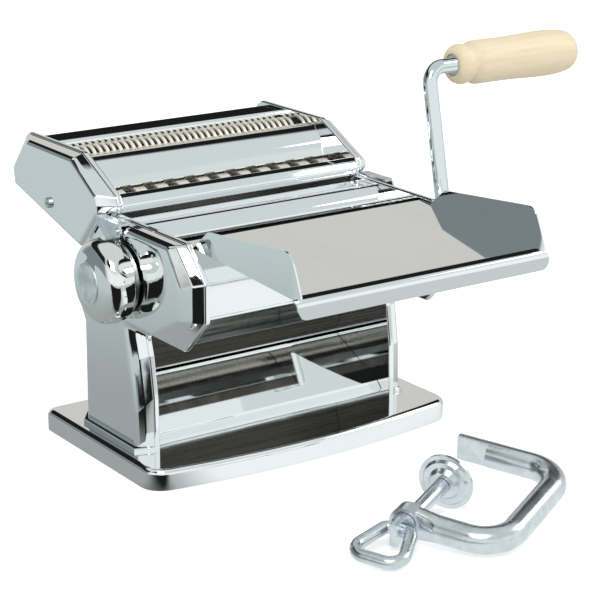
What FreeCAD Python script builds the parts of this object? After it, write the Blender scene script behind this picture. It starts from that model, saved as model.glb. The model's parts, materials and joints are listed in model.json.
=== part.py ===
import FreeCAD, Part
import math
import os
from FreeCAD import Matrix, Placement, Rotation, Vector

# A hand cranked pasta machine with a double cutter unit, a feed tray and a table clamp.
# Millimetres. X runs along the rollers, with the crank at +X and the knob at -X.
# Y runs from the feed tray at the front (-Y) to the cutter unit at the back (+Y). Z is up.
# The origin is the middle of the base's underside, on the surface that the machine stands on.

# Base pan
base_width = 191.0
base_front_y = -65.2
base_back_y = 49.0
base_height = 11.0
base_front_bow = 9.6
base_front_radius = 12.5
base_rear_radius = 7.0
base_edge_radius = 3.2
base_sheet = 1.0

# Side plates and side covers, measured outwards from the middle plane
plate_inner = 74.0
plate_thickness = 3.2
plate_reveal = 0.8
plate_edge_radius = 0.9
cover_edge_radius = 2.8
cover_depth = 9.3
cover_depth_right = 5.4
cover_draft_right = 2.2
cover_sheet = 1.0
plate_outer = plate_inner + plate_thickness
cover_outer = plate_outer + cover_depth
cover_outer_right = plate_outer + cover_depth_right

# Clearances
slip = 0.3
bore_clearance = 0.05

# Rollers
roller_diameter = 29.5
roller_gap = 0.5
roller_gap_travel = 2.2
roller_axis_height = 100.5
drive_roller_y = -53.5
roller_end_gap = 0.4
journal_left_diameter = 10.0
journal_right_diameter = 13.0
roller_spacing = roller_diameter + roller_gap
adjustable_roller_y = drive_roller_y + roller_spacing
roller_half_length = plate_inner - roller_end_gap

# Gears
gear_module = 1.5
pressure_angle = math.radians(20.0)
gear_face = 4.6
gear_backlash = 0.16
gear_inner = plate_outer + 1.5
roller_gear_teeth = round(roller_spacing / gear_module)

# Drive sockets
socket_diameter = 8.1
socket_depth = 24.0
socket_slot_width = 3.0
socket_slot_depth = 6.5
socket_end = cover_outer_right + 1.5

# Bushes
bush_wall = 3.0
bush_flange = 1.0

# Knob and adjusting shaft
shaft_diameter = 8.0
knob_travel = 4.0
knob_rear = cover_outer + 2.2
knob_radius = 22.0
knob_length = 16.5
knob_lobes = 6
knob_scallop_radius = 8.0
knob_scallop_depth = 2.3
knob_cavity_radius = 9.0
knob_web = 4.0
cap_radius = 10.7
cap_thickness = 1.8
index_plate_radius = 18.0
index_plate_thickness = 0.9
index_track_radius = 14.0
index_pin_diameter = 3.0
cam_radius = 9.0
cam_thickness = 1.3

# Crank
rod_diameter = 8.0
crank_arm_x = 100.0
crank_arm_length = 90.9
crank_lean = 11.6
crank_bend_radius = 9.0
crank_stub_inset = 20.0
crank_pin_diameter = 2.5
grip_start = 116.3
grip_end = 202.8
grip_diameter = 24.4
grip_neck_diameter = 19.6
grip_rim_diameter = 21.0
grip_rod_depth = 62.0

# Cutter unit
cutter_disc_diameter = 19.0
cutter_core_diameter = 13.0
cutter_spacing = 16.5
cutter_gear_teeth = round(cutter_spacing / gear_module)
cutter_journal_diameter = 8.0
narrow_pitch = 4.0
wide_pitch = 13.0
disc_side_gap = 0.08
narrow_front_y = 40.5
narrow_front_z = 140.0
narrow_tilt = 4.0
wide_front_y = 15.5
wide_front_z = 125.3
wide_tilt = -10.0
comb_length = 4.0
guard_sheet = 1.0
guard_end = plate_inner - slip

# Feed tray
tray_half_width = 73.0
tray_sheet = 0.9
tray_back_y = -64.5
tray_wing_y = -73.0
tray_front_y = -163.6
tray_back_z = 126.6
tray_slope = 3.4
tray_lip = 8.5
tray_lip_radius = 2.5
tray_lip_overhang = 1.8
wing_back_height = 10.6
wing_front_height = 21.4
wing_back_set = 12.5
wing_front_set = 8.6
wing_front_radius = 8.0

# Chute
chute_front_y = -31.1
chute_rise_y = -28.0
chute_rise = 3.3
chute_ridge_y = 12.6
chute_ridge_z = 32.7
chute_top_y = -3.4
chute_top_drop = 22.6
chute_sheet = 1.0

# Table clamp, a bent rod that lies in front of the machine
clamp_rod = 13.3
clamp_spine = 76.0
clamp_upper_arm = 56.8
clamp_lower_arm = 47.3
clamp_bend_radius = 17.0
clamp_eye_half_height = 8.2
clamp_eye_thickness = 7.5
clamp_flat_length = 17.0
clamp_flat_height = 8.4
clamp_screw_diameter = 8.0
clamp_pad_radius = 14.3
clamp_pad_reach = 42.0
clamp_tail_reach = 9.6
clamp_yaw = 26.2
clamp_pitch = 4.3
clamp_tilt = 7.0
clamp_corner_x = -4.6
clamp_corner_y = -225.9
handle_wire = 6.4
handle_length = 25.8
handle_width = 28.4
handle_tail_half = 2.0

# Side outlines, as (y, z): the rim that lies on the side plate, and the smaller outer face
foot_z = base_height
head_top = 127.3
head_bottom = 72.6
side_rim = [
    (-38.2, foot_z), (-37.6, 38.0), (-34.4, 60.0), (-30.8, head_bottom),
    (-69.0, head_bottom), (-88.3, 92.0), (-88.3, 110.9), (-72.5, head_top),
    (-5.5, head_top), (18.5, 103.1), (33.5, 96.0), (34.0, 82.0), (26.5, 67.0), (26.5, foot_z),
]
side_face_left = [
    (-35.9, foot_z), (-35.0, 30.0), (-29.8, 57.0), (-26.2, 78.4),
    (-53.0, 78.4), (-79.0, 91.3), (-80.6, 108.5), (-68.1, head_top - 0.6),
    (-5.4, head_top - 0.6), (14.0, 106.0), (22.5, 97.0), (23.0, 83.0), (14.0, 68.0), (15.0, foot_z),
]
cutter_rim = [
    (92.9, 150.5), (88.0, 153.7), (28.5, 153.7), (-4.5, 137.3), (-7.0, 132.5),
    (-4.8, 129.4), (17.9, 106.5), (93.4, 125.8),
]
cutter_face_left = [
    (92.8, 133.5), (72.0, 153.9), (22.8, 153.2), (1.4, 138.5), (-0.3, 133.0),
    (-0.5, 127.9), (18.0, 107.0), (90.6, 126.2),
]

nodes = {}


def box(x0, x1, y0, y1, z0, z1):
    """A block between two corners."""
    return Part.makeBox(x1 - x0, y1 - y0, z1 - z0, Vector(x0, y0, z0))


def rod_x(y, z, radius, x0, x1):
    """A cylinder along X."""
    return Part.makeCylinder(radius, x1 - x0, Vector(x0, y, z), Vector(1, 0, 0))


def ring_x(y, z, outer, inner, x0, x1):
    """A round sleeve along X."""
    return rod_x(y, z, outer, x0, x1).cut(rod_x(y, z, inner, x0 - 1, x1 + 1))


def mirrored(shape):
    """The same piece for the other side of the machine."""
    return shape.mirror(Vector(0, 0, 0), Vector(1, 0, 0))


def group(shapes):
    """Several separate solids that share one node."""
    solids = []
    for shape in shapes:
        solids.extend(shape.Solids)
    return Part.makeCompound(solids)


def rounded_edges(points, radii):
    """Edges of a closed outline through Vectors, with an arc of the given radius at each corner."""
    count = len(points)
    starts, ends, middles = [], [], []
    for i in range(count):
        here = points[i]
        back = (points[i - 1] - here).normalize()
        ahead = (points[(i + 1) % count] - here).normalize()
        half = back.getAngle(ahead) / 2
        if radii[i] <= 0 or half > math.pi / 2 - 0.01:
            starts.append(here)
            ends.append(here)
            middles.append(None)
            continue
        reach = radii[i] / math.tan(half)
        centre = here + (back + ahead).normalize() * (radii[i] / math.sin(half))
        starts.append(here + back * reach)
        ends.append(here + ahead * reach)
        middles.append(centre + (here - centre).normalize() * radii[i])
    edges = []
    for i in range(count):
        if middles[i] is not None:
            edges.append(Part.Arc(starts[i], middles[i], ends[i]).toShape())
        following = starts[(i + 1) % count]
        if (following - ends[i]).Length > 1e-6:
            edges.append(Part.LineSegment(ends[i], following).toShape())
    return edges


def outline_x(points, x, radius=0.0):
    """A closed wire in the plane at x through (y, z) points. The radius is one value or one for each corner."""
    radii = radius if isinstance(radius, list) else [radius] * len(points)
    return Part.Wire(rounded_edges([Vector(x, y, z) for y, z in points], radii))


def prism_x(points, x0, x1, radius=0.0):
    """A straight prism along X with a (y, z) outline."""
    return Part.Face(outline_x(points, x0, radius)).extrude(Vector(x1 - x0, 0, 0))


def offset_points(points, distance, closed=True):
    """Points moved to the left of their direction of travel by a distance, with mitred corners."""
    count = len(points)
    moved = []
    for i in range(count):
        here = points[i]
        before = points[i - 1] if closed or i > 0 else None
        after = points[(i + 1) % count] if closed or i < count - 1 else None
        normals = []
        for a, b in ((before, here), (here, after)):
            if a is None or b is None:
                continue
            dy, dz = b[0] - a[0], b[1] - a[1]
            length = math.hypot(dy, dz)
            normals.append((-dz / length, dy / length))
        ny = sum(n[0] for n in normals)
        nz = sum(n[1] for n in normals)
        scale = distance / (ny * normals[0][0] + nz * normals[0][1])
        moved.append((here[0] + ny * scale, here[1] + nz * scale))
    return moved


def bent_sheet(points, thickness, bend, x0, x1):
    """A bent sheet along X. The points are its outer face, and the metal lies to the left of their travel."""
    inner = offset_points(points, thickness, closed=False)
    outer_radii = [0.0]
    inner_radii = [0.0]
    for i in range(1, len(points) - 1):
        ay, az = points[i][0] - points[i - 1][0], points[i][1] - points[i - 1][1]
        by, bz = points[i + 1][0] - points[i][0], points[i + 1][1] - points[i][1]
        turns_left = ay * bz - az * by > 0
        outer_radii.append(bend + thickness if turns_left else bend)
        inner_radii.append(bend if turns_left else bend + thickness)
    outer_radii.append(0.0)
    inner_radii.append(0.0)
    return prism_x(points + inner[::-1], x0, x1, outer_radii + inner_radii[::-1])


def lathe_x(profile, y, z):
    """A turned solid about an axis along X through (y, z), from a profile of (x, radius) points."""
    points = [Vector(x, y, z + r) for x, r in profile]
    wire = Part.makePolygon(points + [points[0]])
    return Part.Face(wire).revolve(Vector(0, y, z), Vector(1, 0, 0), 360)


def involute(angle):
    """The involute function."""
    return math.tan(angle) - angle


def gear_x(y, z, teeth, bore, x0, x1, phase):
    """A spur gear along X with involute flanks. The phase is the angle of one tooth's middle from +Y to +Z."""
    pitch_radius = gear_module * teeth / 2
    base_radius = pitch_radius * math.cos(pressure_angle)
    tip_radius = pitch_radius + 0.8 * gear_module
    root_radius = pitch_radius - 1.1 * gear_module
    half_at_pitch = math.pi / (2 * teeth) - gear_backlash / (2 * pitch_radius)
    steps = 4
    low = max(base_radius, root_radius)
    flank = []
    for i in range(steps + 1):
        radius = low + (tip_radius - low) * i / steps
        at_radius = math.acos(min(1.0, base_radius / radius))
        flank.append((radius, half_at_pitch + involute(pressure_angle) - involute(at_radius)))
    if root_radius < low:
        flank.insert(0, (root_radius, flank[0][1]))
    points = []
    for tooth in range(teeth):
        middle = phase + 2 * math.pi * tooth / teeth
        for radius, half in flank:
            points.append((y + radius * math.cos(middle - half), z + radius * math.sin(middle - half)))
        for radius, half in reversed(flank):
            points.append((y + radius * math.cos(middle + half), z + radius * math.sin(middle + half)))
    return prism_x(points, x0, x1).cut(rod_x(y, z, bore / 2, x0 - 1, x1 + 1))


def facing_phase(teeth, direction):
    """The phase of a gear that turns a gap towards a direction, where its mate turns a tooth."""
    return direction + math.pi / teeth


def screw_x(y, z, head_x, length, side, thread=3.0, head=5.6, head_height=1.6):
    """A pan head screw along X. Its head's outer face is at head_x, and the side is the way the head points."""
    head_inner = head_x - side * head_height
    tip = head_inner - side * length
    body = rod_x(y, z, thread / 2, min(head_inner, tip), max(head_inner, tip))
    cap = rod_x(y, z, head / 2, min(head_x, head_inner), max(head_x, head_inner))
    slot_low, slot_high = sorted((head_x, head_x - side * 0.6))
    slot = box(slot_low, slot_high, y - head, y + head, z - 0.4, z + 0.4)
    rim = [e for e in cap.Edges if abs(e.BoundBox.XMin - head_x) < 1e-6 and e.BoundBox.XLength < 1e-6]
    return cap.makeFillet(0.6, rim).fuse(body).cut(slot).removeSplitter()


def pan_shell(rim, face, depth, closed_foot):
    """A pressed side cover: walls from the rim on the side plate to the smaller outer face."""
    face_x = plate_outer + depth
    inner_rim = offset_points(rim, -cover_sheet)
    inner_face = offset_points(face, -cover_sheet)
    outer = Part.makeLoft([outline_x(rim, plate_outer), outline_x(face, face_x)], True, True)
    corners = []
    for edge in outer.Edges:
        low, high = edge.BoundBox.XMin, edge.BoundBox.XMax
        at_foot = closed_foot and edge.BoundBox.ZMax < foot_z + 0.01
        if high > plate_outer + 0.01 and not at_foot:
            corners.append(edge)
    outer = outer.makeFillet(cover_edge_radius, corners)
    if closed_foot:
        inner_rim = [(y, foot_z - 1.0) if z < foot_z + 2 else (y, z) for y, z in inner_rim]
        inner_face = [(y, foot_z - 1.0) if z < foot_z + 2 else (y, z) for y, z in inner_face]
    cavity = Part.makeLoft(
        [outline_x(inner_rim, plate_outer - 0.01), outline_x(inner_face, face_x - cover_sheet)],
        True, True,
    )
    return outer.cut(cavity)


def make_base():
    """The base pan, its feet, and the channel that takes the clamp's flat end."""
    def pan(inset, height, edge):
        half = base_width / 2 - inset
        front = base_front_y + inset
        back = base_back_y - inset
        bow = Part.Arc(
            Vector(-half, front, 0), Vector(0, front - base_front_bow, 0), Vector(half, front, 0)
        ).toShape()
        sides = [
            Part.LineSegment(Vector(half, front, 0), Vector(half, back, 0)).toShape(),
            Part.LineSegment(Vector(half, back, 0), Vector(-half, back, 0)).toShape(),
            Part.LineSegment(Vector(-half, back, 0), Vector(-half, front, 0)).toShape(),
        ]
        solid = Part.Face(Part.Wire([bow] + sides)).extrude(Vector(0, 0, height))
        upright = [e for e in solid.Edges if e.BoundBox.ZLength > height - 0.1]
        solid = solid.makeFillet(base_front_radius - inset, [e for e in upright if e.BoundBox.YMax < 0])
        upright = [e for e in solid.Edges if e.BoundBox.ZLength > height - 0.1 and e.BoundBox.YMin > back - 0.1]
        solid = solid.makeFillet(base_rear_radius - inset, upright)
        top = [e for e in solid.Edges if e.BoundBox.ZMin > height - 0.01]
        return solid.makeFillet(edge, top)

    outer = pan(0.0, base_height, base_edge_radius)
    hollow = pan(base_sheet, base_height - base_sheet, base_edge_radius - base_sheet)
    shell = outer.cut(hollow)
    mouth = box(-channel_half, channel_half, base_back_y - 3, base_back_y + 3, channel_floor, channel_top)
    shell = shell.cut(mouth)
    for x, y in foot_screw_places():
        shell = shell.cut(Part.makeCylinder(2.2, 6, Vector(x, y, base_height - 4)))
    nodes["base_pan"] = shell.removeSplitter()

    channel_y0 = -8.0
    channel_y1 = base_back_y - base_edge_radius - slip
    channel = box(
        -channel_half - 1.2, channel_half + 1.2, channel_y0, channel_y1, 0, base_height - base_sheet
    )
    hollow = box(-channel_half, channel_half, channel_y0 + 1.2, channel_y1 + 1, channel_floor, base_height)
    nodes["clamp_channel"] = channel.cut(hollow)

    feet = []
    for sx in (-1, 1):
        for sy in (-1, 1):
            x = sx * (base_width / 2 - 16)
            y = (base_front_y + base_back_y) / 2 + sy * 42.0
            foot = Part.makeCylinder(7.0, base_height - base_sheet, Vector(x, y, 0))
            feet.append(foot)
    nodes["base_feet"] = group(feet)


channel_half = clamp_rod / 2 + 0.4
channel_floor = 0.8
channel_top = channel_floor + clamp_flat_height + 0.4


def foot_screw_places():
    """The four screws that hold the side plates' feet to the base."""
    x = plate_inner + 3.0
    return [(sx * x, y) for sx in (-1, 1) for y in (-20.0, 4.0)]


def make_sides():
    """The two inner plates with their feet, the two pressed covers, and the screws that hold them."""
    outline = offset_points(side_rim, plate_reveal)
    outline = [(y, foot_z) if z < foot_z + 2 else (y, z) for y, z in outline]
    radii = [0.0] + [2.5] * (len(outline) - 2) + [0.0]
    blank = prism_x(outline, plate_inner, plate_outer, radii)
    rim = [e for e in blank.Edges if e.BoundBox.XLength < 0.01 and e.BoundBox.ZMax > foot_z + 1]
    blank = blank.makeFillet(plate_edge_radius, rim)
    tab = box(plate_outer - 0.5, cover_outer_right - cover_sheet - 0.6, -26, 10, foot_z, foot_z + 3.0)
    plate = blank.fuse(tab)
    for x, y in foot_screw_places()[2:]:
        plate = plate.cut(Part.makeCylinder(1.3, 8, Vector(x, y, foot_z - 2)))

    block = block_half + 0.12
    slot = box(
        plate_inner - 1, plate_outer + 1, adjustable_roller_y - block,
        adjustable_roller_y + block + roller_gap_travel, roller_axis_height - block, roller_axis_height + block,
    )
    plate = plate.cut(slot)
    for y, z in tie_rod_places():
        plate = plate.cut(rod_x(y, z, 2.1, plate_inner - 1, plate_outer + 1))
    bushes = {}
    for side, journal in ((-1, journal_left_diameter), (1, journal_right_diameter)):
        outer = journal / 2 + bush_wall
        hole = rod_x(drive_roller_y, roller_axis_height, outer, plate_inner - 1, plate_outer + 1)
        name = "left_side_plate" if side < 0 else "right_side_plate"
        one = plate.cut(hole).removeSplitter()
        nodes[name] = mirrored(one) if side < 0 else one
        sleeve = ring_x(
            drive_roller_y, roller_axis_height, outer, journal / 2 + bore_clearance,
            plate_inner, plate_outer,
        )
        collar = ring_x(
            drive_roller_y, roller_axis_height, outer + 1.2, journal / 2 + bore_clearance,
            plate_outer, plate_outer + bush_flange,
        )
        bush = sleeve.fuse(collar).removeSplitter()
        bushes[side] = mirrored(bush) if side < 0 else bush
    nodes["drive_bushes"] = group([bushes[-1], bushes[1]])

    rim_right = offset_points(side_rim, -cover_draft_right)
    side_face_right = [(y, foot_z) if z < foot_z + 5 else (y, z) for y, z in rim_right]
    right = side_cover(side_face_right, cover_depth_right)
    left = mirrored(side_cover(side_face_left, cover_depth))
    nodes["right_side_cover"] = right.cut(
        rod_x(drive_roller_y, roller_axis_height, journal_right_diameter / 2 + 0.8, plate_outer, cover_outer + 2)
    )
    nodes["left_side_cover"] = left.cut(
        rod_x(adjustable_roller_y, roller_axis_height, shaft_diameter / 2 + bore_clearance,
              -cover_outer - 2, -plate_outer)
    )

    screws = []
    for x, y in foot_screw_places():
        shank = Part.makeCylinder(1.3, 7.4, Vector(x, y, base_height - base_sheet - 1.6))
        head = Part.makeCylinder(3.0, 1.6, Vector(x, y, base_height - base_sheet - 1.6))
        screws.append(head.fuse(shank).removeSplitter())
    nodes["foot_screws"] = group(screws)


def side_cover(face, depth):
    """One side cover with the flange round its foot."""
    outer = plate_outer + depth
    cover = pan_shell(side_rim, face, depth, True)
    front, back = side_rim[0][0], side_rim[-1][0]
    shoe_points = [
        (plate_outer, front - 2.0), (plate_outer + 2.4, front - 2.0),
        (outer + 2.0, face[0][0] - 1.0), (outer + 2.0, face[-1][0] + 1.0),
        (plate_outer + 2.4, back + 2.0), (plate_outer, back + 2.0),
    ]
    hole_points = [
        (plate_outer - 1, front + cover_sheet), (plate_outer, front + cover_sheet),
        (outer - cover_sheet, face[0][0] + cover_sheet), (outer - cover_sheet, face[-1][0] - cover_sheet),
        (plate_outer, back - cover_sheet), (plate_outer - 1, back - cover_sheet),
    ]
    shoe = Part.Face(Part.makePolygon([Vector(x, y, foot_z) for x, y in shoe_points + shoe_points[:1]]))
    shoe = shoe.extrude(Vector(0, 0, 2.2))
    shoe_top = [e for e in shoe.Edges if e.BoundBox.ZMin > foot_z + 2.1 and e.BoundBox.XMax > plate_outer + 0.1]
    shoe = shoe.makeFillet(0.8, shoe_top)
    opening = Part.Face(Part.makePolygon([Vector(x, y, foot_z - 1) for x, y in hole_points + hole_points[:1]]))
    return cover.fuse(shoe.cut(opening.extrude(Vector(0, 0, 5)))).removeSplitter()


block_half = 8.0


def tie_rod_places():
    """Where the tie rods join the side plates, as (y, z)."""
    z = roller_axis_height
    return [(-78.0, z + 0.5), (22.5, z - 12.5)]


def make_frame_inside():
    """Tie rods, guards, chute and the front scraper."""
    rods = []
    for y, z in tie_rod_places():
        middle = rod_x(y, z, 3.5, -plate_inner, plate_inner)
        ends = rod_x(y, z, 2.0, -plate_outer - 2.2, plate_outer + 2.2)
        rods.append(middle.fuse(ends).removeSplitter())
    nodes["tie_rods"] = group(rods)
    nuts = []
    for y, z in tie_rod_places():
        for side in (-1, 1):
            nut = ring_x(y, z, 3.6, 2.0, plate_outer, plate_outer + 2.2)
            nuts.append(mirrored(nut) if side < 0 else nut)
    nodes["tie_rod_nuts"] = group(nuts)

    z = roller_axis_height
    front = [
        (-50.5, z + 17.7), (-66.5, z + 23.5), (-71.6, z + 24.2), (-86.6, z + 9.7),
        (-86.6, z - 7.8), (-68.3, z - 26.2), (-60.0, z - 26.2), (-57.5, z - 23.5),
    ]
    nodes["front_guard"] = bent_sheet(front, guard_sheet, 2.0, -guard_end, guard_end)
    rear = [
        (-4.0, z + 12.0), (-4.0, z + 25.5), (-25.0, z + 25.5), (-36.5, z + 20.1), (-37.0, z + 16.9),
    ]
    nodes["rear_guard"] = bent_sheet(rear, guard_sheet, 2.0, -guard_end, guard_end)

    chute = [
        (chute_front_y, foot_z), (chute_rise_y, foot_z + chute_rise),
        (chute_ridge_y, chute_ridge_z), (chute_top_y, roller_axis_height - chute_top_drop),
    ]
    sheet = bent_sheet(chute[::-1], chute_sheet, 4.0, -guard_end, guard_end)
    nodes["chute_plate"] = sheet.cut(box(-100, 100, -60, 60, 0, foot_z))


def scraper(tip_y, tip_z, foot_y, foot_z_low, side):
    """A scraper strip whose tip lies close to a roller, with a stiff folded foot."""
    points = [(tip_y, tip_z), (foot_y, foot_z_low), (foot_y + side * 6.0, foot_z_low - 1.5)]
    if side > 0:
        return bent_sheet(points, 0.9, 1.5, -guard_end, guard_end)
    return bent_sheet(points[::-1], 0.9, 1.5, -guard_end, guard_end)


def make_rollers():
    """The drive roller with its socket, the adjustable roller, their gears and bearing blocks."""
    radius = roller_diameter / 2
    z = roller_axis_height
    y = drive_roller_y
    body = rod_x(y, z, radius, -roller_half_length, roller_half_length)
    left = rod_x(y, z, journal_left_diameter / 2, -gear_inner - gear_face, -roller_half_length)
    right = rod_x(y, z, journal_right_diameter / 2, roller_half_length, socket_end)
    socket = rod_x(y, z, socket_diameter / 2, socket_end - socket_depth, socket_end + 1)
    slot = box(
        socket_end - socket_slot_depth, socket_end + 1, y - journal_right_diameter, y + journal_right_diameter,
        z - socket_slot_width / 2, z + socket_slot_width / 2,
    )
    nodes["drive_roller"] = body.fuse([left, right]).cut(socket).cut(slot).removeSplitter()
    nodes["drive_gear"] = gear_x(
        y, z, roller_gear_teeth, journal_left_diameter, -gear_inner - gear_face, -gear_inner, 0.0
    )

    y = adjustable_roller_y
    body = rod_x(y, z, radius, -roller_half_length, roller_half_length)
    left = rod_x(y, z, journal_left_diameter / 2, -gear_inner - gear_face, -roller_half_length)
    right = rod_x(y, z, journal_left_diameter / 2, roller_half_length, gear_inner)
    nodes["adjustable_roller"] = body.fuse([left, right]).removeSplitter()
    nodes["adjustable_gear"] = gear_x(
        y, z, roller_gear_teeth, journal_left_diameter, -gear_inner - gear_face, -gear_inner,
        facing_phase(roller_gear_teeth, math.pi),
    )
    blocks = []
    for side in (-1, 1):
        block = box(
            plate_inner + 0.1, plate_outer + bush_flange, y - block_half, y + block_half,
            z - block_half, z + block_half,
        )
        block = block.cut(
            rod_x(y, z, journal_left_diameter / 2 + bore_clearance, plate_inner - 1, plate_outer + 4)
        )
        blocks.append(mirrored(block) if side < 0 else block)
    nodes["bearing_blocks"] = group(blocks)

    reach = radius + slip
    angle = math.radians(252)
    nodes["front_scraper"] = scraper(
        drive_roller_y + reach * math.cos(angle), z + reach * math.sin(angle), -61.5, z - 21.0, -1
    )
    angle = math.radians(288)
    nodes["rear_scraper"] = scraper(
        adjustable_roller_y + reach * math.cos(angle), z + reach * math.sin(angle), -14.5, z - 21.0, 1
    )


def make_adjuster():
    """The adjusting shaft with its cam disc, the knob with cap and pin, its spring and the index plate."""
    y, z = adjustable_roller_y, roller_axis_height
    cam_low = -(cover_outer - cover_sheet - 0.4)
    knob_front = -(knob_rear + knob_length)
    seat_x = knob_front + 3.2
    shaft = rod_x(y, z, shaft_diameter / 2, knob_front + cap_thickness + 0.4, cam_low + cam_thickness)
    cam = rod_x(y, z, cam_radius, cam_low, cam_low + cam_thickness)
    washer = rod_x(y, z, 7.5, knob_front + cap_thickness + 0.4, seat_x)
    nodes["adjuster_shaft"] = shaft.fuse([cam, washer]).removeSplitter()

    web_front = -(knob_rear + knob_web)
    nodes["knob_spring"] = ring_x(y, z, 6.6, 4.6, seat_x, web_front)

    r = knob_radius
    profile = [
        (-knob_rear, 0.0), (-knob_rear, r - 1.6), (-knob_rear - 0.8, r - 0.7), (-knob_rear - 4.0, r),
        (-knob_rear - 8.5, r - 0.3), (-knob_rear - 11.6, r - 1.3), (-knob_rear - 14.0, r - 3.6),
        (-knob_rear - 15.5, r - 7.2), (knob_front, cap_radius + 0.4), (knob_front, 0.0),
    ]
    rear = Vector(-knob_rear, y, z)
    edges = [
        Part.LineSegment(rear, rear + Vector(0, 0, r - 1.6)).toShape(),
        Part.LineSegment(rear + Vector(0, 0, r - 1.6), rear + Vector(-0.8, 0, r - 0.7)).toShape(),
    ]
    curve = Part.BSplineCurve()
    dome = [Vector(x, y, z + radius) for x, radius in profile[2:-1]]
    curve.interpolate(dome)
    edges.append(curve.toShape())
    edges.append(Part.LineSegment(dome[-1], Vector(knob_front, y, z)).toShape())
    edges.append(Part.LineSegment(Vector(knob_front, y, z), rear).toShape())
    knob = Part.Face(Part.Wire(edges)).revolve(Vector(0, y, z), Vector(1, 0, 0), 360)
    for lobe in range(knob_lobes):
        angle = 2 * math.pi * (lobe + 0.5) / knob_lobes
        distance = r - knob_scallop_depth + knob_scallop_radius
        cy = y + distance * math.cos(angle)
        cz = z + distance * math.sin(angle)
        groove = rod_x(cy, cz, knob_scallop_radius, -knob_rear - 4.5, -knob_rear + 1)
        end = Part.makeSphere(knob_scallop_radius, Vector(-knob_rear - 4.5, cy, cz))
        knob = knob.cut(groove.fuse(end))
    cavity = rod_x(y, z, knob_cavity_radius, knob_front - 1, web_front)
    bore = rod_x(y, z, shaft_diameter / 2 + bore_clearance, knob_front, -knob_rear + 1)
    recess = rod_x(y, z, cap_radius, knob_front - 1, knob_front + cap_thickness)
    pin_y = y - index_track_radius
    pin_hole = rod_x(pin_y, z, index_pin_diameter / 2, -knob_rear - 5, -knob_rear + 1)
    nodes["adjusting_knob"] = knob.cut(cavity).cut(bore).cut(recess).cut(pin_hole).removeSplitter()
    cap = rod_x(y, z, cap_radius, knob_front - 0.6, knob_front + cap_thickness)
    rim = [e for e in cap.Edges if e.BoundBox.XMax < knob_front - 0.5 and e.BoundBox.XLength < 0.01]
    nodes["knob_cap"] = cap.makeFillet(0.5, rim)
    nodes["index_pin"] = rod_x(pin_y, z, index_pin_diameter / 2, -knob_rear - 5, -cover_outer - 0.2)

    plate = rod_x(y, z, index_plate_radius, -cover_outer - index_plate_thickness, -cover_outer)
    plate = plate.cut(rod_x(y, z, shaft_diameter / 2 + 1.0, -cover_outer - 3, -cover_outer + 1))
    track_outer = index_track_radius + index_pin_diameter / 2 + slip
    track_inner = index_track_radius - index_pin_diameter / 2 - slip
    track = ring_x(y, z, track_outer, track_inner, -cover_outer - 3, -cover_outer + 1)
    track = track.common(box(-cover_outer - 3, -cover_outer + 1, y - 30, y + 30, z - 30, z))
    ends = [
        rod_x(y + reach, z, index_pin_diameter / 2 + slip, -cover_outer - 3, -cover_outer + 1)
        for reach in (-index_track_radius, index_track_radius)
    ]
    nodes["index_plate"] = plate.cut(track.fuse(ends))


def crank_points():
    """The crank's corners: stub end, foot of the arm, top of the arm and rod end in the grip."""
    lean = math.radians(crank_lean)
    foot = Vector(crank_arm_x, drive_roller_y, roller_axis_height)
    top = foot + Vector(0, math.sin(lean), math.cos(lean)) * crank_arm_length
    start = Vector(socket_end - crank_stub_inset, drive_roller_y, roller_axis_height)
    end = Vector(grip_start + grip_rod_depth, top.y, top.z)
    return [start, foot, top, end]


def bent_rod(points, radius, bend):
    """A round rod through points with an arc at each inner corner."""
    pieces = []
    cursor = points[0]
    for i in range(1, len(points) - 1):
        back = (points[i - 1] - points[i]).normalize()
        ahead = (points[i + 1] - points[i]).normalize()
        half = back.getAngle(ahead) / 2
        reach = bend / math.tan(half)
        start = points[i] + back * reach
        end = points[i] + ahead * reach
        centre = points[i] + (back + ahead).normalize() * (bend / math.sin(half))
        middle = centre + (points[i] - centre).normalize() * bend
        pieces.append(Part.LineSegment(cursor, start).toShape())
        pieces.append(Part.Arc(start, middle, end).toShape())
        cursor = end
    pieces.append(Part.LineSegment(cursor, points[-1]).toShape())
    path = Part.Wire(pieces)
    direction = (points[1] - points[0]).normalize()
    section = Part.Wire(Part.makeCircle(radius, points[0], direction))
    return path.makePipeShell([section], True, False, 2)


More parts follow.
